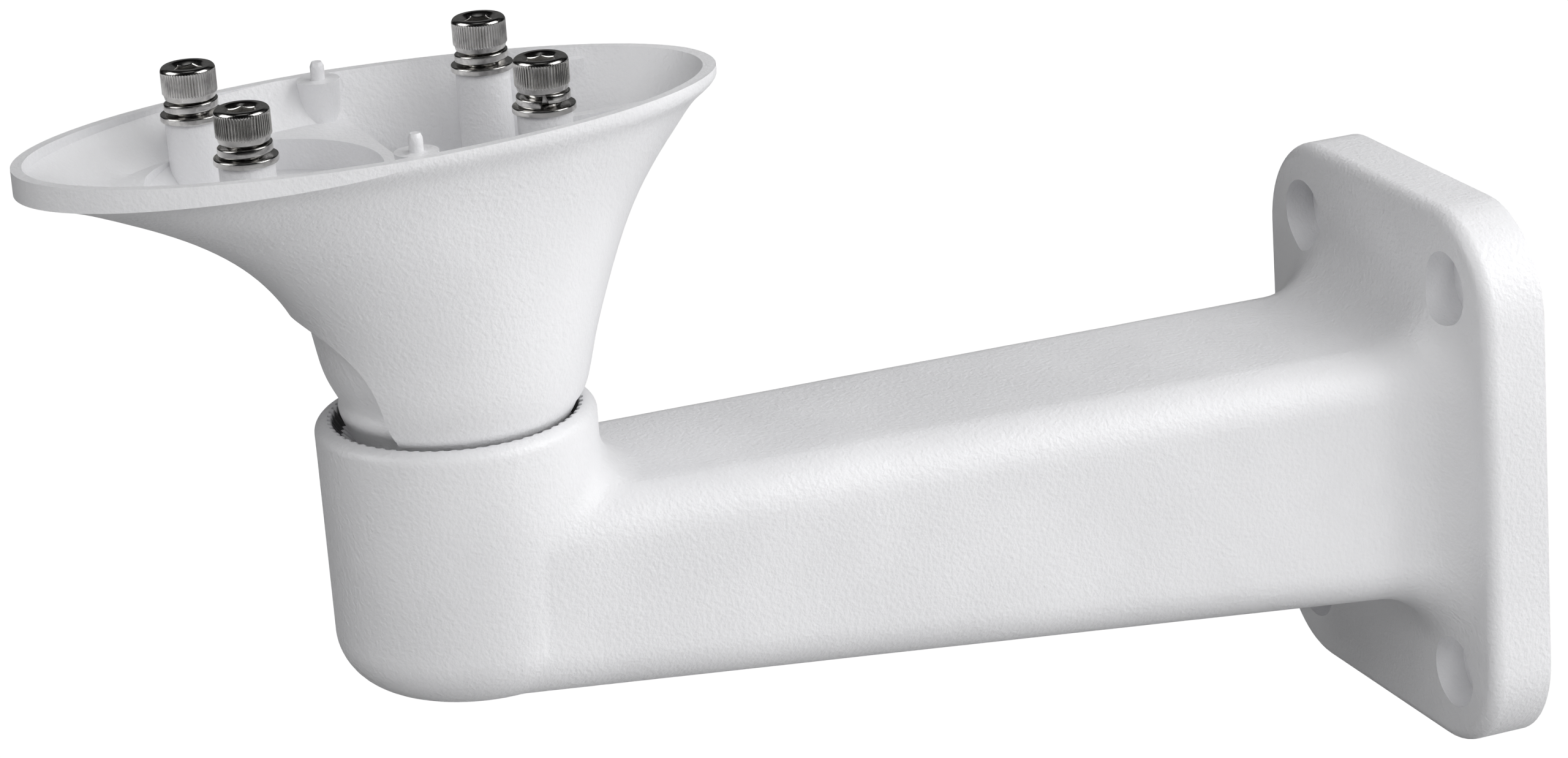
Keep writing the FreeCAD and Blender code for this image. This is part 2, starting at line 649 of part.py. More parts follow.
order = ((1, -1), (-1, -1), (1, 1), (-1, 1))
for number, (side, end) in enumerate(order, start=1):
    x_text = "%d * screw_x / 2" % side
    y_text = "0 - arm_reach - screw_shift + %d * screw_y / 2" % end
    seat_z = "ring_z + rim_rise"
    name = "flat_washer_%d" % number
    nodes[name] = plain_washer(name, "flat_outer_r", "flat_inner_r", "flat_thick", (x_text, y_text, seat_z))
    name = "spring_washer_%d" % number
    body = body_named(name)
    sk = sketch_on(body, name + "_ring", "XY_Plane")
    circle(sk, "0", "0", "spring_outer_r")
    circle(sk, "0", "0", "spring_inner_r")
    pad(body, sk, name + "_disc", "spring_thick")
    gap = sketch_on(body, name + "_gap", "XY_Plane")
    polygon(gap, (("2", "0 - 0.6"), ("8", "0 - 0.6"), ("8", "0.6"), ("2", "0.6")))
    split = body.newObject("PartDesign::Pocket", name + "_split")
    split.Profile = gap
    split.Reversed = True
    bind(split, Length="spring_thick + 2")
    body.Placement = FreeCAD.Placement(V(0, 0, 0), FreeCAD.Rotation(V(0, 1, 0), D["spring_tilt"]))
    lean = "spring_outer_r * 0.0872 + 0.05"
    for axis, text in zip("xyz", (x_text, y_text, seat_z + " + flat_thick + " + lean)):
        body.setExpression("Placement.Base." + axis, cell(text))
    nodes[name] = body
    name = "camera_screw_%d" % number
    nodes[name] = socket_screw(name, "screw_length", (x_text, y_text, seat_z + " + flat_thick + spring_stack"))

doc.recompute()
problems = [o.Name for o in doc.Objects if "Invalid" in o.State or "Error" in o.State]
if problems:
    raise SystemExit("failed objects: " + ", ".join(problems))
for name, obj in nodes.items():
    obj.Label = name
    if obj.Shape.isNull() or not obj.Shape.isValid():
        raise SystemExit("bad shape: " + name)
    if len(obj.Shape.Solids) != 1:
        raise SystemExit("%s has %d solids" % (name, len(obj.Shape.Solids)))
os.makedirs("parts", exist_ok=True)
for name, obj in nodes.items():
    obj.Shape.exportStep("parts/%s.step" % name)
    print(name, round(obj.Shape.Volume, 1), obj.Shape.BoundBox)
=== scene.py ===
import json
import logging
import math
from dataclasses import dataclass
from enum import Enum
from typing import Any, Optional, Union

import bmesh
import bpy
import numpy as np
from mathutils import Matrix, Vector

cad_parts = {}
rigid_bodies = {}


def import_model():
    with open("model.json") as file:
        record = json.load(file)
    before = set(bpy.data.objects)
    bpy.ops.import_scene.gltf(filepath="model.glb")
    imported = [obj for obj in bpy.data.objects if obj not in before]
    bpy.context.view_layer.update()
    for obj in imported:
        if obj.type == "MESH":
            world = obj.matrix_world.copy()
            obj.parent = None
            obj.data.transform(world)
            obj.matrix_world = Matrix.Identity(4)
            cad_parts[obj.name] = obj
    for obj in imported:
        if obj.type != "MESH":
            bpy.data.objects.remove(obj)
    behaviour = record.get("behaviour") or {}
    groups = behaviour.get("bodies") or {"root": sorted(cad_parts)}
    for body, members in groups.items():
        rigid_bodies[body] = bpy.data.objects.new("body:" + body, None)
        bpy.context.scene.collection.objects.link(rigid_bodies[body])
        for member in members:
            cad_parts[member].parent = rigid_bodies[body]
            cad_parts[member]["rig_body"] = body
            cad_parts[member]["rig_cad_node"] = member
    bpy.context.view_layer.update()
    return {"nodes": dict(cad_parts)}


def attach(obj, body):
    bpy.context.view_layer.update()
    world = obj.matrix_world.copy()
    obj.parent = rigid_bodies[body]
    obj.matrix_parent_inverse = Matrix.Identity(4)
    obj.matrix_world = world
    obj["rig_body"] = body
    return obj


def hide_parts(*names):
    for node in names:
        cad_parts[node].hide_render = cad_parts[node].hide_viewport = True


LOG = logging.getLogger("camera_bracket")
MM = 0.001
IMAGE_WIDTH = 2560
ARM_REACH = 264.0
RING_Z = 57.0
RIM_Z = RING_Z + 75.4
BALL_Z = RING_Z + 16.0
CLAMP_CUP_R = 28.2
CLAMP_CUP_FLOOR = 6.0
CLAMP_GAP = 0.3
FLAT_THICK = 1.6
FLAT_GAP = 0.02
SPRING_STACK = 3.3
SENSOR_WIDTH = 36.0
FULL_TURN = 2 * math.pi

Value = Union["Shade", float, int]


class Bench:
    """Node tree of one finish, with a method that adds any node."""

    def __init__(self, name: str) -> None:
        """Start an empty material.

        Args:
            name: name of the finish.
        """
        self.material = bpy.data.materials.new(name)
        self.material.use_nodes = True
        self.tree = self.material.node_tree
        self.tree.nodes.clear()
        self.output = self.tree.nodes.new("ShaderNodeOutputMaterial")

    def add(self, kind: str, settings: Optional[dict] = None, inputs: Optional[dict] = None) -> Any:
        """Add one node.

        Args:
            kind: type of the node.
            settings: properties of the node, set first.
            inputs: value or link of each named or numbered socket.

        Returns:
            The new node.
        """
        node = self.tree.nodes.new(kind)
        for key, value in (settings or {}).items():
            setattr(node, key, value)
        for key, value in (inputs or {}).items():
            self.feed(node.inputs[key], value)
        return node

    def feed(self, socket: Any, value: Any) -> None:
        """Set a socket or link it.

        Args:
            socket: input socket.
            value: number, tuple or expression.
        """
        if isinstance(value, Shade):
            self.tree.links.new(value.socket, socket)
        else:
            socket.default_value = value

    def coords(self) -> "Shade":
        """Object coordinates.

        Returns:
            The coordinates, in metres.
        """
        return Shade(self, self.add("ShaderNodeTexCoord").outputs["Object"])

    def noise(self, where: "Shade", scale: float, detail: float = 2.0, rough: float = 0.5) -> "Shade":
        """Cloudy noise.

        Args:
            where: coordinates.
            scale: lumps to the metre.
            detail: octaves.
            rough: share of the finer octaves.

        Returns:
            Noise from 0 to 1.
        """
        node = self.add("ShaderNodeTexNoise", inputs={"Vector": where, "Scale": scale, "Detail": detail,
                                                      "Roughness": rough})
        return Shade(self, node.outputs["Fac"])

    def ramp(self, factor: "Shade", low: float, high: float) -> "Shade":
        """Part of a factor stretched to the range from 0 to 1.

        Args:
            factor: value to stretch.
            low: value that gives 0.
            high: value that gives 1.

        Returns:
            Clamped value.
        """
        node = self.add("ShaderNodeMapRange", {"interpolation_type": "SMOOTHSTEP"},
                        {"Value": factor, "From Min": low, "From Max": high})
        return Shade(self, node.outputs["Result"])

    def blend(self, factor: Value, first: Any, second: Any) -> "Shade":
        """Mix of two colours.

        Args:
            factor: share of the second.
            first: colour where the factor is 0.
            second: colour where the factor is 1.

        Returns:
            Mixed colour.
        """
        node = self.add("ShaderNodeMix", {"data_type": "RGBA"}, {0: factor, 6: first, 7: second})
        return Shade(self, node.outputs[2])

    def bump(self, height: "Shade", depth: float, strength: float = 1.0) -> "Shade":
        """Normal from a height.

        Args:
            height: height from 0 to 1.
            depth: depth in metres of a height of 1.
            strength: share of the effect.

        Returns:
            Normal.
        """
        node = self.add("ShaderNodeBump", inputs={"Height": height, "Distance": depth, "Strength": strength})
        return Shade(self, node.outputs["Normal"])

    def surface(self, **inputs: Any) -> bpy.types.Material:
        """Finish the material with a principled surface.

        Args:
            inputs: socket values, with underscores for spaces.

        Returns:
            The material.
        """
        node = self.add("ShaderNodeBsdfPrincipled", inputs={k.replace("_", " "): v for k, v in inputs.items()})
        self.tree.links.new(node.outputs[0], self.output.inputs["Surface"])
        return self.material


class Shade:
    """Socket of a shader tree that takes part in Python expressions."""

    def __init__(self, bench: Bench, socket: Any) -> None:
        """Wrap a socket.

        Args:
            bench: tree that the socket is in.
            socket: output socket.
        """
        self.bench = bench
        self.socket = socket

    def math(self, operation: str, first: Value, second: Value = 0.0) -> "Shade":
        """Add one Math node.

        Args:
            operation: name of the operation.
            first: first operand.
            second: second operand.

        Returns:
            The result.
        """
        node = self.bench.add("ShaderNodeMath", {"operation": operation}, {0: first, 1: second})
        return Shade(self.bench, node.outputs[0])

    def __add__(self, other: Value) -> "Shade":
        """Sum."""
        return self.math("ADD", self, other)

    __radd__ = __add__

    def __mul__(self, other: Value) -> "Shade":
        """Product."""
        return self.math("MULTIPLY", self, other)

    __rmul__ = __mul__

    def __sub__(self, other: Value) -> "Shade":
        """Difference."""
        return self.math("SUBTRACT", self, other)

    def __pow__(self, other: Value) -> "Shade":
        """Power."""
        return self.math("POWER", self, other)

    def axis(self, name: str) -> "Shade":
        """One coordinate of a vector.

        Args:
            name: X, Y or Z.

        Returns:
            That coordinate.
        """
        node = self.bench.add("ShaderNodeSeparateXYZ", inputs={0: self})
        return Shade(self.bench, node.outputs[name])


class Slot(Enum):
    """Material slots of the record."""

    POWDER_COAT = "powder_coat"
    BRIGHT_STEEL = "bright_steel"


@dataclass(frozen=True)
class PowderCoat:
    """Off-white powder coat with a fine textured skin."""

    name: str = "powder_coat_white"
    pale: tuple = (0.80, 0.80, 0.815, 1.0)
    deep: tuple = (0.76, 0.76, 0.775, 1.0)
    # near-black painted shade for the shadow inside the toothed seat
    painted_shade: tuple = (0.05, 0.05, 0.052, 1.0)
    roughness: float = 0.42
    cloud_scale: float = 26.0
    peel_scale: float = 820.0
    grain_scale: float = 1500.0
    peel_depth: float = 0.00031
    peel_share: float = 0.75
    # radius in metres within which painted shade is laid on the coat; 0 lays none
    painted_shade_radius: float = 0.0

    def make(self) -> bpy.types.Material:
        """Build the finish.

        Within the given radius of the cup's axis, in metres, the colour turns to near-black painted shade,
        standing in for the shadow deep inside the toothed seat.

        Returns:
            The material.
        """
        bench = Bench(self.name)
        where = bench.coords()
        cloud = bench.noise(where, self.cloud_scale, 3.0, 0.5)
        peel = bench.noise(where, self.peel_scale, 2.0, 0.45)
        grain = bench.noise(where, self.grain_scale, 1.0, 0.5)
        colour = bench.blend(bench.ramp(cloud, 0.35, 0.65), self.pale, self.deep)
        # painted shade: inside the seat's radius the coat turns near black, standing in for the shadow deep in the
        # toothed seat
        if self.painted_shade_radius:
            along, across = where.axis("Y") + ARM_REACH * MM, where.axis("X")
            reach = (along * along + across * across) ** 0.5
            colour = bench.blend(bench.ramp(reach, self.painted_shade_radius - 0.0004, self.painted_shade_radius + 0.0003),
                                 self.painted_shade, colour)
        gloss = self.roughness + 0.10 * (peel - 0.5)
        height = self.peel_share * peel + (1.0 - self.peel_share) * grain
        normal = bench.bump(height, self.peel_depth)
        return bench.surface(Base_Color=colour, Roughness=gloss, Normal=normal, IOR=1.5)


@dataclass(frozen=True)
class BrightSteel:
    """Nickel-plated steel."""

    name: str = "bright_nickel"
    tone: tuple = (0.70, 0.69, 0.67, 1.0)
    dull: tuple = (0.52, 0.51, 0.50, 1.0)
    roughness: float = 0.16
    smear_scale: float = 380.0
    fine_scale: float = 5200.0
    fine_depth: float = 0.000012

    def make(self) -> bpy.types.Material:
        """Build the finish.

        Returns:
            The material.
        """
        bench = Bench(self.name)
        where = bench.coords()
        smear = bench.noise(where, self.smear_scale, 3.0, 0.6)
        fine = bench.noise(where, self.fine_scale)
        colour = bench.blend(bench.ramp(smear, 0.42, 0.7), self.tone, self.dull)
        gloss = self.roughness + 0.16 * (smear - 0.4) + 0.05 * fine
        normal = bench.bump(fine, self.fine_depth, 0.6)
        return bench.surface(Base_Color=colour, Metallic=1.0, Roughness=gloss, Normal=normal)


def grid_mesh(name: str, points: np.ndarray, wrap_u: bool, wrap_v: bool) -> bpy.types.Object:
    """Mesh on a grid of points, with one quad between each four neighbours.

    Args:
        name: name of the piece.
        points: array of rows, columns and three coordinates, in millimetres.
        wrap_u: whether the last row joins the first.
        wrap_v: whether the last column joins the first.

    Returns:
        The piece.
    """
    rows, columns = points.shape[:2]
    index = np.arange(rows * columns).reshape(rows, columns)
    if wrap_u:
        index = np.vstack([index, index[:1]])
    if wrap_v:
        index = np.hstack([index, index[:, :1]])
    quads = np.stack([index[:-1, :-1], index[:-1, 1:], index[1:, 1:], index[1:, :-1]], axis=-1).reshape(-1, 4)
    return mesh_piece(name, points.reshape(-1, 3), quads)


def mesh_piece(name: str, points: np.ndarray, quads: np.ndarray) -> bpy.types.Object:
    """Object whose mesh has the given points and quads.

    Args:
        name: name of the piece.
        points: coordinates in millimetres.
        quads: four point numbers to a face.

    Returns:
        The piece.
    """
    mesh = bpy.data.meshes.new(name)
    mesh.vertices.add(len(points))
    mesh.vertices.foreach_set("co", (points * MM).astype(np.float32).ravel())
    mesh.loops.add(quads.size)
    mesh.loops.foreach_set("vertex_index", quads.astype(np.int32).ravel())
    mesh.polygons.add(len(quads))
    mesh.polygons.foreach_set("loop_start", np.arange(0, quads.size, 4, dtype=np.int32))
    mesh.polygons.foreach_set("use_smooth", np.ones(len(quads), bool))
    mesh.update(calc_edges=True)
    mesh.validate()
    piece = bpy.data.objects.new(name, mesh)
    bpy.context.scene.collection.objects.link(piece)
    return piece


def sharpen(piece: bpy.types.Object, degrees: float) -> None:
    """Keep edges sharper than an angle crisp under smooth shading.

    Args:
        piece: piece to shade.
        degrees: smallest angle that stays crisp.
    """
    piece.data.set_sharp_from_angle(angle=math.radians(degrees))


def close_poles(piece: bpy.types.Object) -> None:
    """Merge the points that meet on an axis or seam and turn the faces outwards.

    Args:
        piece: piece to mend.
    """
    work = bmesh.new()
    work.from_mesh(piece.data)
    bmesh.ops.remove_doubles(work, verts=work.verts, dist=1e-7)
    bmesh.ops.dissolve_degenerate(work, edges=work.edges, dist=1e-8)
    bmesh.ops.recalc_face_normals(work, faces=work.faces)
    work.to_mesh(piece.data)
    work.free()


def arc(centre: tuple, radius: float, start: float, stop: float, count: int) -> list:
    """Points of an arc of a profile.

    Args:
        centre: radius and height of the arc's centre.
        radius: radius of the arc.
        start: first angle in degrees.
        stop: last angle in degrees.
        count: number of points.

    Returns:
        Pairs of radius and height.
    """
    turn = np.radians(np.linspace(start, stop, count))
    return [(centre[0] + radius * math.cos(t), centre[1] + radius * math.sin(t)) for t in turn]


def turned(radius: Any, turn: Any, height: Any) -> np.ndarray:
    """Points about the upright axis.

    Args:
        radius: distances from the axis.
        turn: angles, of a shape that goes with the radii.
        height: heights, of a shape that goes with the radii.

    Returns:
        Array of the common shape with three coordinates to a point.
    """
    radius, turn, height = np.broadcast_arrays(radius, turn, height)
    return np.stack([radius * np.cos(turn), radius * np.sin(turn), height], axis=-1)


def with_ends(rows: np.ndarray) -> np.ndarray:
    """Rows of a tube with one more at each end, where all points lie in the middle of that end.

    Args:
        rows: closed outlines, one after the other.

    Returns:
        The rows with their ends.
    """
    first, last = (end.mean(axis=1, keepdims=True).repeat(rows.shape[1], axis=1) for end in (rows[:1], rows[-1:]))
    return np.concatenate([first, rows, last])


def around_turn(count: int) -> np.ndarray:
    """Evenly spaced angles of one full turn, without its end.

    Args:
        count: number of angles.

    Returns:
        The angles.
    """
    return np.arange(count) * 2 * math.pi / count


@dataclass
class CapScrew:
    """Cap screw with a knurled head, standing on the underside of its head at height 0."""

    shank_r: float = 4.0
    length: float = 20.0
    head_r: float = 6.5
    head_tall: float = 8.0
    hex_flats: float = 6.0
    hex_deep: float = 4.0
    hex_break: float = 0.9
    shoulder_r: float = 5.45
    shoulder_tall: float = 1.35
    lip: float = 0.08
    knurls: int = 60
    knurl_deep: float = 0.27
    collar_tall: float = 1.35
    collar_r: float = 5.85
    pitch: float = 1.25
    thread_deep: float = 0.55
    thread_start: float = 2.0
    thread_rows: int = 6
    around: int = 360

    def hexagon(self, turn: np.ndarray) -> np.ndarray:
        """Radius of a hexagon at each angle: half its width over the cosine of the angle from a flat's middle.

        Args:
            turn: angles.

        Returns:
            Radii.
        """
        sector = np.mod(turn, math.pi / 3) - math.pi / 6
        return self.hex_flats / 2 / np.cos(sector)

    def points(self) -> np.ndarray:
        """Surface of the screw as a profile turned about its axis.

        The radius is the profile's, less a row of rounded valleys where the knurl runs, less a helix
        of valleys along the shank, and the hexagon's own radius inside the socket.

        Returns:
            Grid of points.
        """
        turn = around_turn(self.around)
        valleys = self.knurl_deep * self.valleys(turn)
        top = self.head_tall
        hexa = self.hexagon(turn)
        flare = self.hex_flats / math.sqrt(3) + self.hex_break
        wall_top = top - self.lip - (flare - hexa) * 0.62
        rows: list[np.ndarray] = []
        heights: list[np.ndarray] = []

        def row(radius: Any, height: Any) -> None:
            """Add one row of the grid.

            Args:
                radius: radius, or one for each angle.
                height: height, or one for each angle.
            """
            rows.append(np.broadcast_to(np.asarray(radius, float), turn.shape).copy())
            heights.append(np.broadcast_to(np.asarray(height, float), turn.shape).copy())

        floor = top - self.hex_deep
        for share, rise in ((0.0, -0.9), (0.55, -0.45), (0.985, 0.0), (1.0, 0.05)):
            row(hexa * share, floor + rise)
        for out, rise in ((0.0, -0.30), (0.03, -0.10), (0.14, 0.02)):
            row(hexa + out, wall_top + rise)
        row(hexa * 0.4 + flare * 0.6, wall_top * 0.4 + (top - self.lip) * 0.6)
        for out, rise in ((-0.04, -0.09), (0.16, -0.01), (0.30, 0.0)):
            row(flare + out, top + rise)
        row(self.shoulder_r - 0.3, top)
        bulge, drop = self.head_r - self.shoulder_r, self.shoulder_tall
        for lean in np.radians(np.linspace(88.0, 4.0, 11)):
            radius = self.shoulder_r + bulge * math.cos(lean)
            height = top - drop * (1 - math.sin(lean))
            share = max(0.0, (top - height) / drop - 0.55) / 0.45
            row(radius - share ** 1.6 * valleys, height)
        low = self.collar_tall
        for height in np.linspace(top - drop - 0.3, low + 0.30, 5):
            row(self.head_r - valleys, height)
        row(self.head_r - 0.10 - 0.7 * valleys, low + 0.12)
        neck = self.head_r - self.knurl_deep
        for radius, height in ((neck - 0.02, low), (neck - 0.08, low - 0.15), (self.collar_r + 0.12, 0.30),
                               (self.collar_r, 0.06), (self.collar_r - 0.1, 0.0), (self.shank_r + 0.25, 0.0),
                               (self.shank_r, -0.3)):
            row(radius, height)
        start = self.thread_start
        count = int((self.length - start) / self.pitch * self.thread_rows)
        for height in np.linspace(-start, 0.6 - self.length, count):
            phase = np.mod(height / self.pitch + turn / FULL_TURN, 1.0)
            fade = min(1.0, (-height - start) / 1.5, (self.length + height) / 1.0)
            row(self.shank_r - fade * self.thread_deep * (1 - np.abs(2 * phase - 1)) ** 1.2, height)
        row(self.shank_r - 1.0, -self.length)
        row(0.0, -self.length)
        return turned(np.stack(rows), turn, np.stack(heights))

    def valleys(self, turn: np.ndarray) -> np.ndarray:
        """Depth of the knurl at each angle: sharp ridges with 0 on the ridge and 1 in the rounded valley.

        Args:
            turn: angles.

        Returns:
            Depths.
        """
        return np.abs(np.sin(turn * self.knurls / 2)) ** 0.8

    def build(self, name: str, place: tuple, spin: float) -> bpy.types.Object:
        """Build the screw.

        Args:
            name: name of the piece.
            place: centre of the underside of the head.
            spin: turn about the screw's axis in degrees.

        Returns:
            The piece.
        """
        points = self.points() @ turn_about_z(spin).T + np.asarray(place)
        piece = grid_mesh(name, points, False, True)
        close_poles(piece)
        sharpen(piece, 38.0)
        return piece


def turn_about_z(degrees: float) -> np.ndarray:
    """Matrix of a turn about the upright axis.

    Args:
        degrees: angle.

    Returns:
        Three by three matrix.
    """
    c, s = math.cos(math.radians(degrees)), math.sin(math.radians(degrees))
    return np.array([[c, -s, 0.0], [s, c, 0.0], [0.0, 0.0, 1.0]])


@dataclass
class SpringWasher:
    """Split spring washer: a flat-sided wire bent to one turn of a helix."""

    outer_r: float = 6.4
    inner_r: float = 4.3
    thick: float = 2.0
    lift: float = 1.25
    gap: float = 14.0
    edge: float = 0.30
    end_slant: float = 3.0
    hand: int = 1
    around: int = 150

    def build(self, name: str, place: tuple, spin: float) -> bpy.types.Object:
        """Build the washer: a rounded rectangle carried along a helix that rises by the lift.

        The hand is 1 where the helix rises anticlockwise and -1 where it rises clockwise.

        Args:
            name: name of the piece.
            place: centre of the washer's underside.
            spin: direction of the split in degrees.

        Returns:
            The piece.
        """
        half_wide = (self.outer_r - self.inner_r) / 2
        half_tall = self.thick / 2
        middle = (self.outer_r + self.inner_r) / 2
        outline = []
        for cx, cz, start in ((1, 1, 0), (-1, 1, 90), (-1, -1, 180), (1, -1, 270)):
            outline += arc((cx * (half_wide - self.edge), cz * (half_tall - self.edge)), self.edge,
                           start, start + 90, 4)
        section = np.array(outline)
        share = np.linspace(0.0, 1.0, self.around)
        turn = np.radians(spin + self.hand * (self.gap / 2 + share * (360.0 - self.gap)))
        radius = middle + section[None, :, 0]
        height = half_tall + section[None, :, 1] + (self.lift * share)[:, None]
        slant = np.zeros_like(share)
        slant[0], slant[-1] = -self.hand, self.hand
        bias = math.radians(self.end_slant) * slant[:, None] * section[None, :, 1] / half_tall
        points = with_ends(turned(radius, turn[:, None] + bias, height))
        piece = grid_mesh(name, points + np.asarray(place), False, True)
        close_poles(piece)
        sharpen(piece, 40.0)
        return piece


@dataclass
class FlatWasher:
    """Plain washer with rounded stamped edges."""

    outer_r: float = 7.5
    inner_r: float = 4.2
    thick: float = FLAT_THICK
    edge: float = 0.35
    under_edge: float = 0.2
    bore_edge: float = 0.15
    around: int = 120

    def build(self, name: str, place: tuple) -> bpy.types.Object:
        """Build the washer: a rounded rectangle turned about the axis.

        Args:
            name: name of the piece.
            place: centre of the washer's underside.

        Returns:
            The piece.
        """
        e, u, b = self.edge, self.under_edge, self.bore_edge
        section = np.array(arc((self.outer_r - e, self.thick - e), e, 0, 90, 5)
                           + arc((self.inner_r + b, self.thick - b), b, 90, 180, 3)
                           + arc((self.inner_r + b, b), b, 180, 270, 3)
                           + arc((self.outer_r - u, u), u, 270, 360, 4))
        points = turned(section[:, 0], around_turn(self.around)[:, None], section[:, 1])
        piece = grid_mesh(name, points + np.asarray(place), True, True)
        close_poles(piece)
        sharpen(piece, 40.0)
        return piece


@dataclass
class CameraFixings:
    """Four cap screws with spring and flat washers, on the bosses of the head."""

    spread_x: float = 43.2
    spread_y: float = 72.0
    shift: float = 14.7
    order: tuple = ((1, -1), (-1, -1), (1, 1), (-1, 1))
    spins: tuple = (44.5, 24.0, 38.6, 10.0)
    splits: tuple = (150.0, 93.0, -18.0, 97.0)
    hands: tuple = (1, 1, -1, 1)

    def build(self, metal: bpy.types.Material) -> list:
        """Build all twelve pieces and let them ride on the head.

        Args:
            metal: finish of screws and washers.

        Returns:
            The pieces.
        """
        made = []
        for number, (side, end) in enumerate(self.order, start=1):
            x = side * self.spread_x / 2
            y = -ARM_REACH - self.shift + end * self.spread_y / 2
            screw = CapScrew().build("cap_screw_%d" % number, (x, y, RIM_Z + FLAT_THICK + SPRING_STACK),
                                     self.spins[number - 1])
            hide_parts("camera_screw_%d" % number)
            spring = SpringWasher(hand=self.hands[number - 1]).build(
                "split_washer_%d" % number, (x, y, RIM_Z + FLAT_THICK + FLAT_GAP), self.splits[number - 1])
            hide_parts("spring_washer_%d" % number)
            flat = FlatWasher().build("plain_washer_%d" % number, (x, y, RIM_Z))
            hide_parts("flat_washer_%d" % number)
            for piece in (screw, spring, flat):
                dress(piece, metal)
                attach(piece, "head")
                made.append(piece)
        return made


def dress(piece: bpy.types.Object, finish: bpy.types.Material) -> None:
    """Give a piece its finish.

    Args:
        piece: piece to dress.
        finish: material.
    """
    piece.data.materials.clear()
    piece.data.materials.append(finish)


@dataclass
class SeatRing:
    """Toothed top of the arm's cup: a broad rounded rim with rounded grooves that close on the ball."""

    wall_r: float = 33.79
    rim_round: float = 3.0
    cut_z: float = 53.0
    crest_r: float = 29.45
    ball_r: float = 33.0
    ball_z: float = BALL_Z
    gap: float = 0.8
    teeth: int = 64
    groove: float = 1.5
    groove_share: float = 0.33
    low_z: float = 48.6
    around: int = 768

    def share(self, turn: np.ndarray) -> np.ndarray:
        """Depth of the grooves at each angle, from 0 on a crest to 1 in the middle of a groove.

        Args:
            turn: angles.

        Returns:
            Depths.
        """
        phase = np.abs(np.mod(turn * self.teeth / FULL_TURN + 0.5, 1.0) - 0.5)
        return np.clip(1.0 - (phase / self.groove_share) ** 2, 0.0, 1.0) ** 0.8

    def build(self, name: str) -> bpy.types.Object:
        """Build the ring: a profile turned about the cup's axis, its inside wall following the ball.

        Args:
            name: name of the piece.

        Returns:
            The piece.
        """
        turn = around_turn(self.around)
        deep = self.groove * self.share(turn)
        profile = [(self.wall_r - 1.5, self.cut_z - 0.3, 0.0), (self.wall_r, self.cut_z, 0.0)]
        centre = (self.wall_r - self.rim_round, RING_Z - self.rim_round)
        profile += [(r, z, 0.0) for r, z in arc(centre, self.rim_round, 0.0, 90.0, 12)]
        profile += [(self.crest_r + 1.25, RING_Z, 0.0), (self.crest_r + 0.75, RING_Z - 0.03, 0.25),
                    (self.crest_r + 0.35, RING_Z - 0.12, 0.62), (self.crest_r + 0.1, RING_Z - 0.32, 0.88)]
        for height in np.linspace(RING_Z - 0.65, self.low_z, 9):
            reach = math.sqrt((self.ball_r + self.gap) ** 2 - (self.ball_z - height) ** 2)
            profile.append((reach, height, 1.0 - 0.03 * (RING_Z - height)))
        profile.append((self.wall_r - 6.0, self.low_z, 0.0))
        rows = np.stack([turned(r + share * deep, turn, z) for r, z, share in profile])
        piece = grid_mesh(name, rows + (0.0, -ARM_REACH, 0.0), True, True)
        close_poles(piece)
        sharpen(piece, 50.0)
        return piece

    def open_cup(self, casting: bpy.types.Object) -> None:
        """Take the top of the cup off the casting's copy, where this ring stands.

        Args:
            casting: merged copy of the arm.
        """
        work = bmesh.new()
        work.from_mesh(casting.data)
        near = [f for f in work.faces
                if all(math.hypot(v.co.x, v.co.y + ARM_REACH * MM) < (self.wall_r + 1.0) * MM for v in f.verts)
                and max(v.co.z for v in f.verts) > self.cut_z * MM]
        parts = list({v for f in near for v in f.verts}) + list({e for f in near for e in f.edges}) + near
        bmesh.ops.bisect_plane(work, geom=parts, plane_co=(0.0, 0.0, self.cut_z * MM), plane_no=(0.0, 0.0, 1.0),
                               clear_outer=True)
        work.to_mesh(casting.data)
        work.free()


@dataclass
class NotchWall:
    """Back wall of the notch in the head's neck, with the rounded sill above the ball."""

    profile: tuple = ((22.6, 49.8), (24.0, 51.6), (25.4, 54.0), (26.5, 56.6), (27.3, 58.6), (27.75, 60.2),
                      (27.5, 61.5), (27.2, 62.5), (27.6, 63.7), (28.5, 65.5), (29.6, 67.8), (30.5, 70.4),
                      (31.2, 73.4), (31.9, 77.6), (32.9, 83.2))
    wall: float = 0.4
    half_turn: float = 72.0
    squeeze: float = 0.97
    steps: int = 57
    smoothings: int = 6
    around: int = 96

    def build(self, name: str) -> bpy.types.Object:
        """Build the wall: a profile and its inner offset turned part of the way round the head's axis.

        Args:
            name: name of the piece.

        Returns:
            The piece.
        """
        line = np.array(self.profile)
        fine = np.linspace(0.0, len(line) - 1.0, self.steps)
        outer = np.stack([np.interp(fine, np.arange(len(line)), line[:, k]) for k in (0, 1)], axis=-1)
        kernel = np.array([0.25, 0.5, 0.25])
        for _ in range(self.smoothings):
            outer[1:-1] = sum(w * outer[k:len(outer) - 2 + k] for k, w in enumerate(kernel))
        loop = np.concatenate([outer, (outer - (self.wall, 0.0))[::-1]])
        turn = np.radians(-90.0 + np.linspace(-self.half_turn, self.half_turn, self.around))
        rows = turned(loop[:, 0], turn[:, None], loop[:, 1]) * (self.squeeze, 1.0, 1.0) + (0.0, -ARM_REACH, 0.0)
        piece = grid_mesh(name, with_ends(rows), False, True)
        close_poles(piece)
        sharpen(piece, 50.0)
        return piece


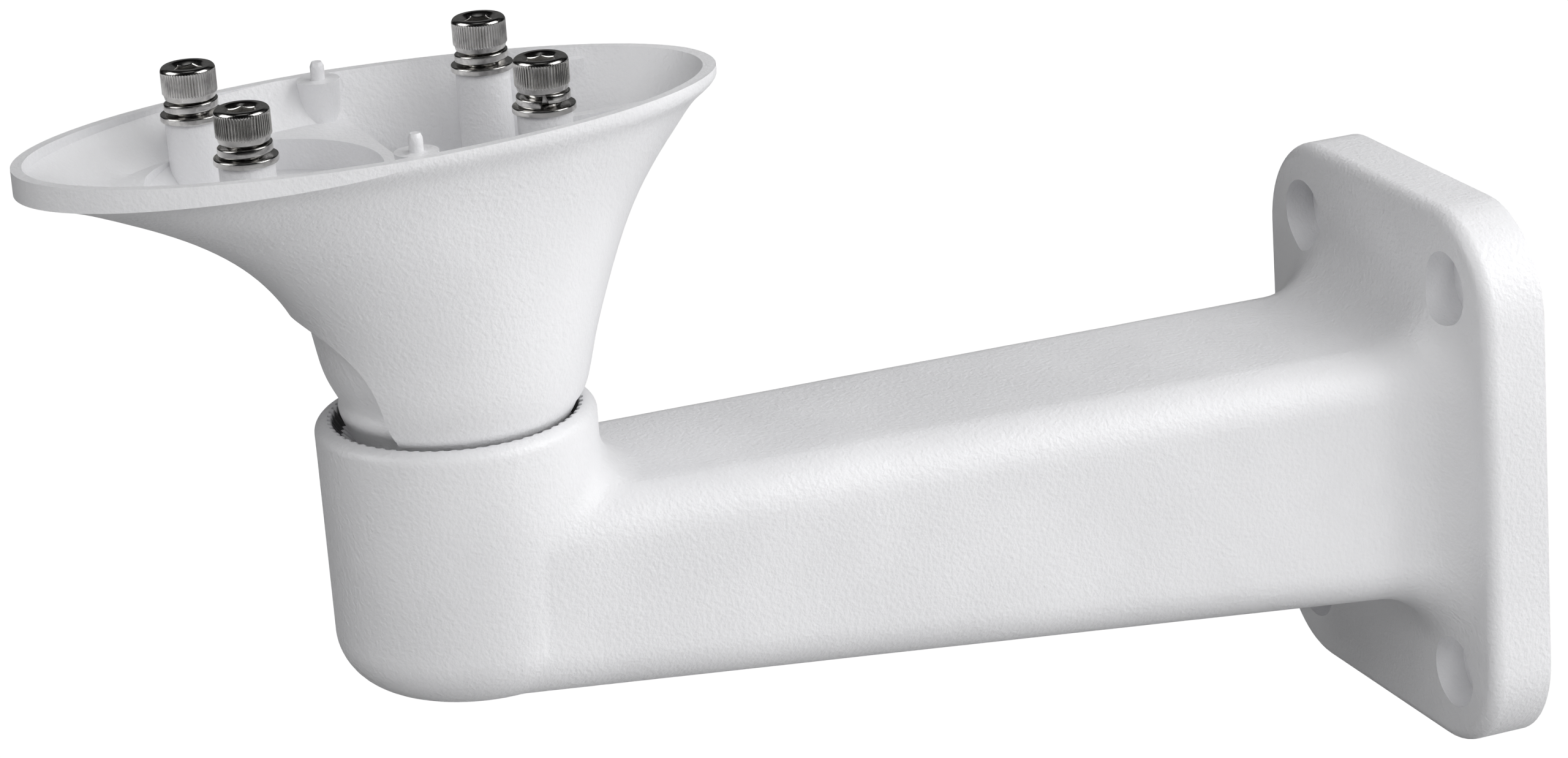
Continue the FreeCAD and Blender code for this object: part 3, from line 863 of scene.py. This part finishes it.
@dataclass
class Castings:
    """The cast pieces, whose solids are shown as they are or as merged copies with smooth shading."""

    nodes: dict
    smooth_angle: float = 30.0
    sealed: tuple = ((21.6, -314.7), (-21.6, -314.7))
    bore_r: float = 4.3

    def seal_bores(self, piece: bpy.types.Object) -> None:
        """Close the bores of the two outer bosses at both ends, so that the flare's skin is whole.

        Args:
            piece: merged copy of the head.
        """
        work = bmesh.new()
        work.from_mesh(piece.data)
        for x, y in self.sealed:
            inside = {v for v in work.verts if math.hypot(v.co.x / MM - x, v.co.y / MM - y) < self.bore_r}
            gone = [f for f in work.faces if all(v in inside for v in f.verts)]
            bmesh.ops.delete(work, geom=gone, context="FACES")
        bmesh.ops.holes_fill(work, edges=[e for e in work.edges if e.is_boundary], sides=0)
        work.to_mesh(piece.data)
        work.free()

    def skin(self, node: str, body: str, finish: bpy.types.Material) -> bpy.types.Object:
        """Merged copy of a solid's mesh with smooth shading, standing for that solid.

        Args:
            node: name of the solid.
            body: body that it rides on.
            finish: material.

        Returns:
            The piece.
        """
        piece = self.nodes[node].copy()
        piece.data = self.nodes[node].data.copy()
        piece.name = node + "_skin"
        piece.parent = None
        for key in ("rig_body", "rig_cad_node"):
            if key in piece:
                del piece[key]
        bpy.context.scene.collection.objects.link(piece)
        if piece.data.attributes.get("custom_normal"):
            piece.data.attributes.remove(piece.data.attributes["custom_normal"])
        close_poles(piece)
        if node == "head":
            self.seal_bores(piece)
        piece.data.polygons.foreach_set("use_smooth", np.ones(len(piece.data.polygons), bool))
        sharpen(piece, self.smooth_angle)
        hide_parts(node)
        dress(piece, finish)
        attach(piece, body)
        return piece


def outward(azimuth: float, elevation: float) -> Vector:
    """Direction from the object, at azimuth 0 along -Y.

    Args:
        azimuth: turn about the upright axis in degrees.
        elevation: height above the horizon in degrees.

    Returns:
        Unit vector.
    """
    a, e = math.radians(azimuth), math.radians(elevation)
    return Vector((math.sin(a) * math.cos(e), -math.cos(a) * math.cos(e), math.sin(e)))


@dataclass(frozen=True)
class Softbox:
    """Rectangular studio light that the camera doesn't see, for matt surfaces or for mirroring ones."""

    name: str
    azimuth: float
    elevation: float
    distance: float
    size: tuple
    power: float
    mirror_only: bool = False

    def place(self, target: Vector) -> None:
        """Hang the light so that it faces the target.

        Args:
            target: point that the light faces.
        """
        back = outward(self.azimuth, self.elevation)
        lamp = bpy.data.lights.new(self.name, "AREA")
        lamp.shape = "RECTANGLE"
        lamp.size, lamp.size_y = self.size
        lamp.energy = self.power
        item = bpy.data.objects.new(self.name, lamp)
        item.location = target + back * self.distance
        item.rotation_euler = back.to_track_quat("Z", "Y").to_euler()
        item.visible_camera = False
        item.visible_glossy = self.mirror_only
        item.visible_diffuse = not self.mirror_only
        bpy.context.scene.collection.objects.link(item)


@dataclass(frozen=True)
class Studio:
    """Camera, lights and floor."""

    azimuth: float = 68.65
    elevation: float = 18.77
    roll: float = -3.97
    distance: float = 1.57043
    target: tuple = (-0.26983, -0.07408, -0.05038)
    focal_px: float = 8447.49
    floor_z: float = -3.0
    room_half: float = 8.0
    far_away: float = 2.2
    far_size: tuple = (1.5, 1.1)
    far_aim: tuple = (0.0, -0.18, 0.03)
    far_boxes: tuple = (("left_low", 0.0, -25.0, 6.0), ("left_high", 10.0, 40.0, 9.6),
                        ("front_low", 60.0, -25.0, 12.8), ("front_high", 60.0, 40.0, 11.0),
                        ("right_high", 110.0, 40.0, 4.2), ("right_low", 120.0, -25.0, 11.8),
                        ("right_level", 120.0, 10.0, 7.9), ("wall_level", 160.0, 10.0, 9.5),
                        ("wall_high", 160.0, 40.0, 2.6), ("back_low", 180.0, -25.0, 24.0),
                        ("back_high", 210.0, 40.0, 9.4), ("top_back", 240.0, 75.0, 4.9))
    near_away: float = 0.75
    near_size: tuple = (0.5, 0.4)
    near_aim: tuple = (0.0, -0.10, 0.03)
    near_boxes: tuple = (("right", 115.0, 40.0, 0.80), ("wall", 150.0, 30.0, 0.90), ("wall_top", 170.0, 60.0, 1.27))
    mirror_aim: tuple = (0.0, -0.22, 0.1)
    mirror_boxes: tuple = (("left", -8.0, 30.0, 1.5, 1.6, 2.6), ("right", 143.0, 30.0, 1.5, 1.6, 2.8),
                           ("low_left", 5.0, -22.0, 1.6, 0.9, 0.36), ("low_front", 68.0, -22.0, 1.8, 0.9, 0.13),
                           ("low_right", 132.0, -22.0, 1.6, 0.9, 0.45), ("back", 250.0, 18.0, 3.2, 1.6, 0.10),
                           ("low_back", 250.0, -22.0, 3.0, 0.9, 0.45), ("top", 70.0, 82.0, 1.0, 0.8, 0.25))

    def camera(self) -> None:
        """Put the camera where the photograph was taken from."""
        a, r = math.radians(self.azimuth), math.radians(self.roll)
        back = outward(self.azimuth, self.elevation)
        flat_right = Vector((math.cos(a), math.sin(a), 0.0))
        flat_up = back.cross(flat_right)
        right = flat_right * math.cos(r) + flat_up * math.sin(r)
        up = flat_up * math.cos(r) - flat_right * math.sin(r)
        place = Vector(self.target) + back * self.distance
        lens = bpy.data.cameras.new("bracket_camera")
        lens.sensor_fit = "HORIZONTAL"
        lens.sensor_width = SENSOR_WIDTH
        lens.lens = self.focal_px / IMAGE_WIDTH * lens.sensor_width
        lens.clip_start = 0.05
        lens.clip_end = 60.0
        item = bpy.data.objects.new("bracket_camera", lens)
        item.matrix_world = Matrix(((right.x, up.x, back.x, place.x), (right.y, up.y, back.y, place.y),
                                    (right.z, up.z, back.z, place.z), (0.0, 0.0, 0.0, 1.0)))
        bpy.context.scene.collection.objects.link(item)
        bpy.context.scene.camera = item

    def floor(self) -> None:
        """Lay a wide pale floor below the object, with pale walls and a ceiling far away."""
        mesh = bpy.data.meshes.new("floor")
        h = self.room_half
        corners = [(x, y, z) for z in (self.floor_z, h) for x, y in ((-h, -h), (h, -h), (h, h), (-h, h))]
        mesh.from_pydata(corners, [], [(0, 1, 2, 3), (0, 4, 5, 1), (1, 5, 6, 2), (2, 6, 7, 3), (3, 7, 4, 0),
                                       (7, 6, 5, 4)])
        item = bpy.data.objects.new("floor", mesh)
        bench = Bench("pale_floor")
        paper = bench.noise(bench.coords(), 3.0, 2.0)
        colour = bench.blend(paper, (0.97, 0.97, 0.97, 1.0), (0.99, 0.99, 0.99, 1.0))
        mesh.materials.append(bench.surface(Base_Color=colour, Roughness=0.9, Emission_Color=(1.0, 1.0, 1.0, 1.0),
                                            Emission_Strength=1.0))
        bpy.context.scene.collection.objects.link(item)
        item.visible_diffuse = False
        item.visible_glossy = False

    def light(self) -> None:
        """Light the object softly: far and near boxes for matt surfaces, mirror boxes for the steel."""
        world = bpy.data.worlds.new("studio_air")
        world.use_nodes = True
        sky = world.node_tree.nodes["Background"]
        sky.inputs["Color"].default_value = (0.97, 0.98, 1.0, 1.0)
        sky.inputs["Strength"].default_value = 0.0
        bpy.context.scene.world = world
        for kind, boxes, away, size, aim in (
                ("far_", self.far_boxes, self.far_away, self.far_size, self.far_aim),
                ("near_", self.near_boxes, self.near_away, self.near_size, self.near_aim)):
            for name, azimuth, elevation, power in boxes:
                Softbox(kind + name, azimuth, elevation, away, size, power).place(Vector(aim))
        for name, azimuth, elevation, wide, tall, glow in self.mirror_boxes:
            box = Softbox("mirror_" + name, azimuth, elevation, self.far_away, (wide, tall),
                          glow * math.pi * wide * tall, True)
            box.place(Vector(self.mirror_aim))

    def build(self) -> None:
        """Set up the whole studio."""
        self.camera()
        self.floor()
        self.light()
        settings = bpy.context.scene.view_settings
        settings.view_transform = "Standard"
        settings.look = "None"
        settings.exposure = 0.0


def main() -> None:
    """Build the bracket's looks around its frame, then the studio."""
    logging.basicConfig(level=logging.INFO, format="%(message)s")
    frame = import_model()
    coat = PowderCoat().make()
    steel = BrightSteel().make()
    castings = Castings(frame["nodes"])
    pieces = [castings.skin("wall_arm", "arm", coat), castings.skin("head", "head", coat),
              castings.skin("clamp_cup", "clamp", coat)]
    ring = SeatRing()
    ring.open_cup(pieces[0])
    seat = ring.build("seat_ring")
    # the seat ring's coat gets near-black painted shade inside the teeth, for the shadow in the seat
    dress(seat, PowderCoat(name="powder_coat_seat_painted_shade", painted_shade_radius=(ring.crest_r + 0.2) * MM).make())
    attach(seat, "arm")
    pieces.append(seat)
    back = NotchWall().build("notch_wall")
    dress(back, coat)
    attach(back, "head")
    pieces.append(back)
    pieces += CameraFixings().build(steel)
    bolt_z = BALL_Z - CLAMP_CUP_R + CLAMP_GAP + CLAMP_CUP_FLOOR
    washer = FlatWasher(outer_r=8.0).build("bolt_washer", (0.0, -ARM_REACH, bolt_z))
    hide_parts("clamp_washer")
    bolt = CapScrew(length=38.0).build("clamp_screw", (0.0, -ARM_REACH, bolt_z + FLAT_THICK), 10.0)
    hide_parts("clamp_bolt")
    for piece in (washer, bolt):
        dress(piece, steel)
        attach(piece, "clamp")
        pieces.append(piece)
    Studio().build()
    for piece in pieces:
        LOG.info("%s: %d faces", piece.name, len(piece.data.polygons))


if __name__ == "__main__":
    main()
